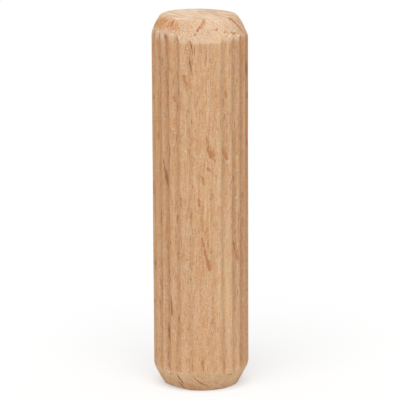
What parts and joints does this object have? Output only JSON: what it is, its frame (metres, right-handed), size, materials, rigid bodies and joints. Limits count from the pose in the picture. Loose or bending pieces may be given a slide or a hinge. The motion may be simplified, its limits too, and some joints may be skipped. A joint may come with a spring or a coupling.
{
  "type": "dowel pin",
  "caption": "Fluted beech dowel pin with a chamfered lead-in at each end, for gluing two boards edge to edge or end to face.",
  "frame": {"origin": "centre of the lower flat end face, on the pin's axis", "axes": "+Z along the pin's axis, from the lower end to the upper end; a flute is centred on -Y"},
  "size_m": [0.0102, 0.0102, 0.04],
  "materials": {
    "beech": "matte"
  },
  "bodies": {
    "root": {"dowel_pin": "beech"}
  },
  "joints": []
}
